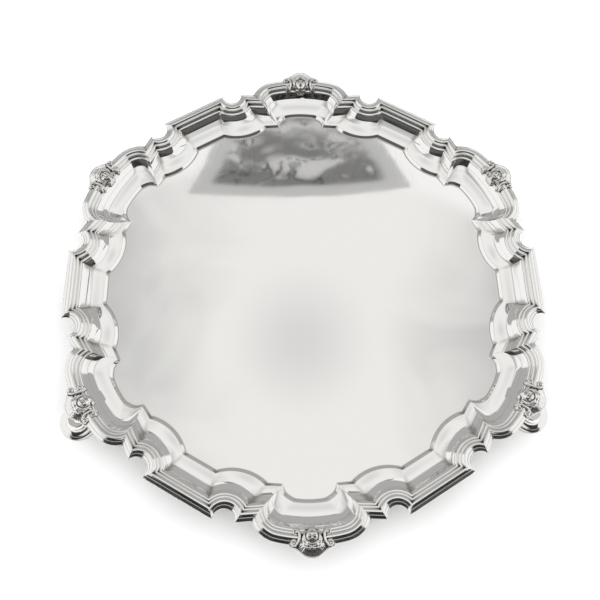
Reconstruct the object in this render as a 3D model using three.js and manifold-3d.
import * as THREE from 'three';
import { mergeVertices } from 'three/addons/utils/BufferGeometryUtils.js';
import Module from 'manifold-3d';

const wasm = await Module();
wasm.setup();

// Driving sizes, in millimetres. Heights are above the surface the feet stand on.
const apothem = 140; // tray axis to the outer edge of a straight side
const lobes = 6; // a mask at the middle of each lobe, a straight side between lobes
const rimEdgeZ = 25.5; // height of the rim's thin outer edge
const fitGap = 0.3; // clearance between soldered pieces

// The rim's outer outline, measured from a mask's axis (x outwards, y along the rim).
const archTop = 1.0426 * apothem;
const archRadius = 0.592 * apothem;
const shoulderRadius = 0.124 * apothem;
const sideHalf = 0.1533 * apothem; // half the straight side
const archFoot = polar(0.9786 * apothem, 13.14); // inner corner between lobe and neck
const biteStart = polar(0.9968 * apothem, 16.42); // from here a small hollow runs to the side
const creaseAngle = 40; // where the dish's crease leaves the lobe's shoulder

// The flat plate's outline, with the same corners as the rim's.
const plateCorners = {
  arch: new THREE.Vector2(0.874 * apothem, 0.05 * apothem),
  crease: new THREE.Vector2(0.863 * apothem, 0.076 * apothem),
  archFoot: polar(0.824 * apothem, 7.19),
  biteStart: polar(0.829 * apothem, 11.29),
  biteEnd: polar(0.842 * apothem, 25.25),
};
const plateBulges = { arch: 0.07, shoulder: 0.14, flank: 0.3, neck: 0, bite: -0.27, side: 0 };

// The tray sheet's section: inset from the rim's edge, and height below that edge.
const sheet = 1.1; // thickness
const flangeInset = 1.3; // the border's edge overhangs the sheet by this much
const flangeZ = -1.7;
const dishStart = 8.4; // inset where the dish begins
const plateInset = 23.1; // inset where the flat plate begins
const dishSection = [
  [dishStart, -2.6],
  [11.1, -5.3],
  [13.6, -6.6],
  [21.6, -7.7],
  [plateInset, -9.2],
];

// The border moulding's section, from its outer edge to its inner edge.
const borderUnderZ = -1.2; // below its outer edge
const borderSection = [
  [0, borderUnderZ],
  [0, -0.2],
  [0.3, 0.1],
  [1.6, 0.65],
  [2.8, 1.25],
  [3.7, 1.4],
  [4.5, 1.1],
  [5.4, 0.5],
  [6.1, 0.4],
  [6.9, -1.4],
  [7.6, -1.1],
  [8.2, -1.6],
  [8.4, -2.3],
];

// The masks' undersides follow this line, a fit gap above the border.
const seatSection = [
  [-0.3, -20],
  [-0.3, 0.2],
  [1.5, 1],
  [3.6, 1.8],
  [4.8, 1.4],
  [6.4, 0.7],
  [7.2, -0.9],
  [7.8, -0.8],
  [8.7, -2.2],
  [8.7, -20],
];

// Masks: a small cast head between two scrolled straps, over each lobe's middle.
const mask = {
  tip: 152, // tray axis to the crown
  headHalf: [5.2, 6.4, 3.6], // half width, half length, half depth
  headZ: 0.4,
  crownHalf: 12.6, // half width of the pediment behind the head
  crownTopZ: 2.5,
  strapX: 6.9,
  voluteRadius: 1.9,
  innerVolute: [8.1, 138.8, 0.6],
  outerVolute: [9.7, 144.4, 1.2],
};

// Feet: a curved leg on a stepped round pad, under every second mask.
const foot = {
  padReach: 151.6, // tray axis to the pad's centre
  pad: [[11, 0], [11, 1.2], [9.3, 1.8], [9.3, 2.7], [6.6, 3.5], [5.8, 4.9], [4.4, 7]],
  leg: [ // outwards, up, half width
    [131.5, 21.5, 7.4],
    [134.5, 16.5, 6],
    [140, 12, 4.7],
    [145.8, 8.6, 4.2],
    [149.8, 5.2, 4.4],
    [151.4, 2.2, 5.2],
  ],
};

const steps = { arch: 8, shoulder: 2, flank: 3, neck: 1, bite: 5, side: 1 };
const segmentNames = ['shoulder', 'flank', 'neck', 'bite'];

const silver = { tray: '#e4e2de', border: '#d9d7d2', mask: '#cfccc6', foot: '#d6d3cd' };

function polar(radius, degrees) {
  const angle = THREE.MathUtils.degToRad(degrees);
  return new THREE.Vector2(radius * Math.cos(angle), radius * Math.sin(angle));
}

// The crossing of a line (point, direction) and a circle that is nearest to `near`.
function crossing(point, direction, centre, radius, near) {
  const toPoint = point.clone().sub(centre);
  const along = -toPoint.dot(direction);
  const half = Math.sqrt(along * along - toPoint.lengthSq() + radius * radius);
  const a = point.clone().addScaledVector(direction, along + half);
  const b = point.clone().addScaledVector(direction, along - half);
  return a.distanceTo(near) < b.distanceTo(near) ? a : b;
}

const sideMiddle = polar(apothem, 180 / lobes);
const sideNormal = sideMiddle.clone().normalize();
const sideDirection = new THREE.Vector2(sideNormal.y, -sideNormal.x);
const biteEnd = sideMiddle.clone().addScaledVector(sideDirection, sideHalf);
const biteCentre = biteStart.clone().lerp(biteEnd, 0.5);
const biteRadius = biteStart.distanceTo(biteEnd) / 2;
const archCentre = new THREE.Vector2(archTop - archRadius, 0);
const shoulderCentre = findShoulderCentre();
const shoulderAngle = shoulderCentre.clone().sub(archCentre).angle();
const neckDirection = biteStart.clone().sub(archFoot).normalize();
const neckNormal = new THREE.Vector2(neckDirection.y, -neckDirection.x);

// The shoulder's arc touches the lobe's main arc and ends at the lobe's foot.
function findShoulderCentre() {
  const reach = archRadius - shoulderRadius;
  const toFoot = archFoot.clone().sub(archCentre);
  const span = toFoot.length();
  const cosine = (reach ** 2 + span ** 2 - shoulderRadius ** 2) / (2 * reach * span);
  const angle = toFoot.angle() - Math.acos(cosine);
  return archCentre.clone().add(new THREE.Vector2(Math.cos(angle), Math.sin(angle)).multiplyScalar(reach));
}

// How far an arc of this radius stands off its chord, over half the chord.
function bulgeOf(a, b, radius) {
  const half = a.distanceTo(b) / 2;
  return (radius - Math.sqrt(Math.max(0, radius ** 2 - half ** 2))) / half;
}

// The rim's outline moved inwards by an inset, its corners staying sharp.
function offsetOutline(inset) {
  const onArc = (centre, radius, angle) =>
    centre.clone().add(new THREE.Vector2(Math.cos(angle), Math.sin(angle)).multiplyScalar(radius - inset));
  const neckPoint = biteStart.clone().addScaledVector(neckNormal, -inset);
  const sidePoint = biteEnd.clone().addScaledVector(sideNormal, -inset);
  const corners = {
    arch: onArc(archCentre, archRadius, shoulderAngle),
    crease: onArc(shoulderCentre, shoulderRadius, THREE.MathUtils.degToRad(creaseAngle)),
    archFoot: crossing(neckPoint, neckDirection, shoulderCentre, shoulderRadius - inset, archFoot),
    biteStart: crossing(neckPoint, neckDirection, biteCentre, biteRadius + inset, biteStart),
    biteEnd: crossing(sidePoint, sideDirection, biteCentre, biteRadius + inset, biteEnd),
  };
  const mirrored = new THREE.Vector2(corners.arch.x, -corners.arch.y);
  const bulges = {
    arch: bulgeOf(mirrored, corners.arch, archRadius - inset),
    shoulder: bulgeOf(corners.arch, corners.crease, shoulderRadius - inset),
    flank: bulgeOf(corners.crease, corners.archFoot, shoulderRadius - inset),
    neck: 0,
    bite: -bulgeOf(corners.biteStart, corners.biteEnd, biteRadius + inset),
    side: 0,
  };
  return { corners, bulges };
}

// Past the moulding the outline changes gradually into the plate's own.
function outlineAt(inset) {
  if (inset <= dishStart) {
    return offsetOutline(inset);
  }
  const start = offsetOutline(dishStart);
  const t = (inset - dishStart) / (plateInset - dishStart);
  const corners = {};
  for (const name in plateCorners) {
    corners[name] = start.corners[name].clone().lerp(plateCorners[name], t);
  }
  const bulges = {};
  for (const name in plateBulges) {
    bulges[name] = THREE.MathUtils.lerp(start.bulges[name], plateBulges[name], Math.sqrt(t));
  }
  return { corners, bulges };
}

// Points from a towards b (b left out) on an arc that stands off to the right.
function arcPoints(a, b, bulge, count) {
  const chord = b.clone().sub(a);
  const right = new THREE.Vector2(chord.y, -chord.x).normalize();
  const points = [];
  for (let i = 0; i < count; i += 1) {
    const t = i / count;
    const point = a.clone().addScaledVector(chord, t);
    if (Math.abs(bulge) > 1e-6) {
      const half = 2 * Math.atan(bulge);
      const radius = chord.length() / 2 / Math.sin(half);
      const angle = half * (2 * t - 1);
      const along = radius * Math.sin(angle) + chord.length() / 2;
      point.copy(a).addScaledVector(chord, along / chord.length());
      point.addScaledVector(right, radius * (Math.cos(angle) - Math.cos(half)));
    }
    points.push(point);
  }
  return points;
}

// A run of rim points from one mask's axis to the next, in the tray's plane.
function lobeToLobe(inset) {
  const { corners, bulges } = outlineAt(inset);
  const names = ['arch', 'crease', 'archFoot', 'biteStart', 'biteEnd'];
  const mirrored = (p) => new THREE.Vector2(p.x, -p.y);
  const arch = arcPoints(mirrored(corners.arch), corners.arch, bulges.arch, steps.arch);
  const half = arch.slice(steps.arch / 2);
  segmentNames.forEach((segment, i) => {
    half.push(...arcPoints(corners[names[i]], corners[names[i + 1]], bulges[segment], steps[segment]));
  });
  half.push(corners.biteEnd);
  const first = half.map((p) => p.clone().rotateAround(new THREE.Vector2(), Math.PI / 2));
  const turn = Math.PI / 2 + (2 * Math.PI) / lobes;
  const second = half.map((p) => mirrored(p).rotateAround(new THREE.Vector2(), turn));
  return first.concat(second.reverse());
}

// The whole outline at one inset and height, as a closed loop of points.
function rimLoop(inset, z) {
  const run = lobeToLobe(inset).slice(0, -1);
  const loop = [];
  for (let lobe = 0; lobe < lobes; lobe += 1) {
    const turn = (lobe * 2 * Math.PI) / lobes;
    for (const p of run) {
      const turned = p.clone().rotateAround(new THREE.Vector2(), turn);
      loop.push(new THREE.Vector3(turned.x, turned.y, rimEdgeZ + z));
    }
  }
  return loop;
}

// A closed solid through a row of rings with equal point counts, capped at both ends.
function skin(rings, flatten) {
  const size = rings[0].length;
  const index = [];
  for (let r = 0; r + 1 < rings.length; r += 1) {
    for (let i = 0; i < size; i += 1) {
      const a = r * size + i;
      const b = r * size + ((i + 1) % size);
      index.push(a, b, b + size, a, b + size, a + size);
    }
  }
  const last = (rings.length - 1) * size;
  const caps = THREE.ShapeUtils.triangulateShape(rings[0].map(flatten), []);
  const positions = rings.flat();
  const turnOf = (points) => Math.sign(THREE.ShapeUtils.area(points.map(flatten)));
  const ringTurn = turnOf(rings[0]);
  for (const [a, b, c] of caps) {
    const sameTurn = turnOf([a, b, c].map((i) => rings[0][i])) === ringTurn;
    const [p, q] = sameTurn ? [b, c] : [c, b];
    index.push(a, q, p, last + a, last + p, last + q);
  }
  const geometry = new THREE.BufferGeometry().setFromPoints(positions);
  geometry.setIndex(volumeOf(positions, index) < 0 ? index.reverse() : index);
  return geometry;
}

function volumeOf(points, index) {
  let volume = 0;
  for (let i = 0; i < index.length; i += 3) {
    const [a, b, c] = [points[index[i]], points[index[i + 1]], points[index[i + 2]]];
    volume += a.dot(b.clone().cross(c)) / 6;
  }
  return volume;
}

const fromAbove = (p) => new THREE.Vector2(p.x, p.y);
const fromSide = (p) => new THREE.Vector2(p.y, p.z);

// Boolean cuts and joins work on solids whose shared points are merged.
function toSolid(geometry) {
  const bare = geometry.clone();
  bare.deleteAttribute('normal');
  bare.deleteAttribute('uv');
  const merged = mergeVertices(bare, 1e-4);
  const source = new wasm.Mesh({
    numProp: 3,
    vertProperties: new Float32Array(merged.attributes.position.array),
    triVerts: new Uint32Array(merged.index.array),
  });
  return new wasm.Manifold(source);
}

function toGeometry(solid) {
  const source = solid.getMesh();
  const geometry = new THREE.BufferGeometry();
  geometry.setAttribute('position', new THREE.BufferAttribute(new Float32Array(source.vertProperties), 3));
  geometry.setIndex(new THREE.BufferAttribute(new Uint32Array(source.triVerts), 1));
  return geometry;
}

// The sheet's back follows its front.
const backSection = dishSection.map(([inset, z]) => [inset + 0.45 * sheet, z - sheet]);

function makeTray() {
  const rings = [];
  for (const [inset, z] of [...dishSection].reverse()) {
    rings.push(rimLoop(inset, z));
  }
  rings.push(rimLoop(flangeInset, flangeZ), rimLoop(flangeInset, flangeZ - sheet));
  for (const [inset, z] of backSection) {
    rings.push(rimLoop(inset, z));
  }
  return skin(rings, fromAbove);
}

// The space above the feet: all that lies over the tray's underside, grown by the fit gap.
function makeTrayRoom() {
  const rings = [];
  for (const [inset, z] of [...backSection].reverse()) {
    rings.push(rimLoop(inset, z - fitGap));
  }
  rings.push(rimLoop(0, flangeZ - sheet - fitGap), rimLoop(0, 30));
  return skin(rings, fromAbove);
}

// The moulding between two masks' axes, where neighbouring lengths meet.
function makeBorder() {
  const runs = borderSection.map(([inset]) => lobeToLobe(inset));
  const stations = runs[0].length;
  const endGap = fitGap / 2;
  const turn = (2 * Math.PI) / lobes;
  const rings = [];
  for (let s = 0; s < stations; s += 1) {
    rings.push(runs.map((run, i) => {
      const p = run[s].clone();
      if (s === 0) {
        p.x = -endGap;
      }
      if (s === stations - 1) {
        p.rotateAround(new THREE.Vector2(), -turn).setX(endGap);
        p.rotateAround(new THREE.Vector2(), turn);
      }
      return new THREE.Vector3(p.x, p.y, rimEdgeZ + borderSection[i][1]);
    }));
  }
  return skin(rings, fromSide);
}

// The space below a mask, where two border lengths meet.
function makeSeat() {
  const reach = 15;
  const cuts = 6;
  const rings = [];
  for (let i = 0; i <= cuts; i += 1) {
    const x = reach * ((2 * i) / cuts - 1);
    rings.push(seatSection.map(([inset, z]) => {
      const y = archCentre.x + Math.sqrt((archRadius - inset) ** 2 - x ** 2);
      return new THREE.Vector3(x, y, rimEdgeZ + z);
    }));
  }
  return toSolid(skin(rings, fromSide));
}

function blob(half, x, y, z, columns = 8, rows = 6) {
  const geometry = new THREE.SphereGeometry(1, columns, rows);
  geometry.scale(half[0], half[1], half[2]);
  geometry.translate(x, y, rimEdgeZ + z);
  return toSolid(geometry);
}

function makeCrown() {
  const shape = new THREE.Shape();
  shape.moveTo(-mask.crownHalf, archTop - 1.9);
  shape.quadraticCurveTo(-6.5, archTop + 0.6, -4.2, archTop + 3.6);
  shape.quadraticCurveTo(-2.4, mask.tip, 0, mask.tip);
  shape.quadraticCurveTo(2.4, mask.tip, 4.2, archTop + 3.6);
  shape.quadraticCurveTo(6.5, archTop + 0.6, mask.crownHalf, archTop - 1.9);
  shape.lineTo(0, archTop - 5);
  const depth = mask.crownTopZ - borderUnderZ;
  const geometry = new THREE.ExtrudeGeometry(shape, { depth, bevelEnabled: false, curveSegments: 3 });
  geometry.translate(0, 0, rimEdgeZ + borderUnderZ);
  return toSolid(geometry);
}

function makeStrap(side) {
  const [innerX, innerY, innerZ] = mask.innerVolute;
  const [outerX, outerY, outerZ] = mask.outerVolute;
  const r = mask.voluteRadius;
  const length = outerY - innerY;
  return blob([r, r, r], side * innerX, innerY, innerZ)
    .add(blob([r, r, r * 0.9], side * outerX, outerY, outerZ))
    .add(blob([1.3, length / 2 + 2, 2.8], side * mask.strapX, innerY + length / 2, 0.8));
}

function makeMask() {
  const [halfWidth, halfLength, halfDepth] = mask.headHalf;
  const headY = mask.tip - halfLength - 0.4;
  let solid = blob(mask.headHalf, 0, headY, mask.headZ, 12, 8)
    .add(makeCrown())
    .add(makeStrap(1))
    .add(makeStrap(-1));
  solid = solid.add(blob([1.1, 1.9, 1.3], 0, headY - 1.2, mask.headZ + halfDepth - 0.5));
  solid = solid.add(blob([halfWidth * 0.7, 2.4, 2.4], 0, headY - halfLength + 1.4, mask.headZ));
  const pieces = solid.subtract(makeSeat()).decompose();
  return toGeometry(pieces.reduce((best, piece) => (piece.volume() > best.volume() ? piece : best)));
}

function makeFoot(trayRoom) {
  const profile = foot.pad.map(([radius, z]) => new THREE.Vector2(radius, z));
  profile.unshift(new THREE.Vector2(0, 0));
  profile.push(new THREE.Vector2(0, foot.pad.at(-1)[1]));
  const pad = new THREE.LatheGeometry(profile, 28);
  pad.rotateX(Math.PI / 2);
  pad.translate(0, foot.padReach, 0);
  const sides = 12;
  const rings = foot.leg.map(([y, z, half], i, all) => {
    const before = all[Math.max(0, i - 1)];
    const after = all[Math.min(all.length - 1, i + 1)];
    const tilt = Math.atan2(after[0] - before[0], before[1] - after[1]) * 0.6;
    const ring = [];
    for (let s = 0; s < sides; s += 1) {
      const angle = (2 * Math.PI * s) / sides;
      const out = half * 0.85 * Math.sin(angle);
      ring.push(new THREE.Vector3(
        half * Math.cos(angle),
        y + out * Math.cos(tilt),
        z + out * Math.sin(tilt),
      ));
    }
    return ring;
  });
  const leg = toSolid(skin(rings, fromAbove));
  return toGeometry(toSolid(pad).add(leg).subtract(trayRoom));
}

function silverMesh(name, geometry, colour, roughness) {
  const material = new THREE.MeshStandardMaterial({ color: colour, metalness: 1, roughness });
  const mesh = new THREE.Mesh(geometry, material);
  mesh.name = name;
  return mesh;
}

const assembly = new THREE.Group();
assembly.add(silverMesh('tray', makeTray(), silver.tray, 0.12));
const borderShape = makeBorder();
const maskShape = makeMask();
const footShape = makeFoot(toSolid(makeTrayRoom()));
for (let lobe = 0; lobe < lobes; lobe += 1) {
  const turn = (lobe * 2 * Math.PI) / lobes;
  const border = silverMesh(`border_${lobe + 1}`, borderShape, silver.border, 0.15);
  const head = silverMesh(`mask_${lobe + 1}`, maskShape, silver.mask, 0.22);
  border.rotation.z = turn;
  head.rotation.z = turn;
  assembly.add(border, head);
  if (lobe % 2 === 0) {
    const support = silverMesh(`foot_${lobe / 2 + 1}`, footShape, silver.foot, 0.18);
    support.rotation.z = turn;
    assembly.add(support);
  }
}

// The origin is the middle of the salver's bounding box, at its base.
const middle = new THREE.Box3().setFromObject(assembly, true).getCenter(new THREE.Vector3());
assembly.position.set(-middle.x, -middle.y, 0);
const salver = new THREE.Group();
salver.add(assembly);

export default salver;
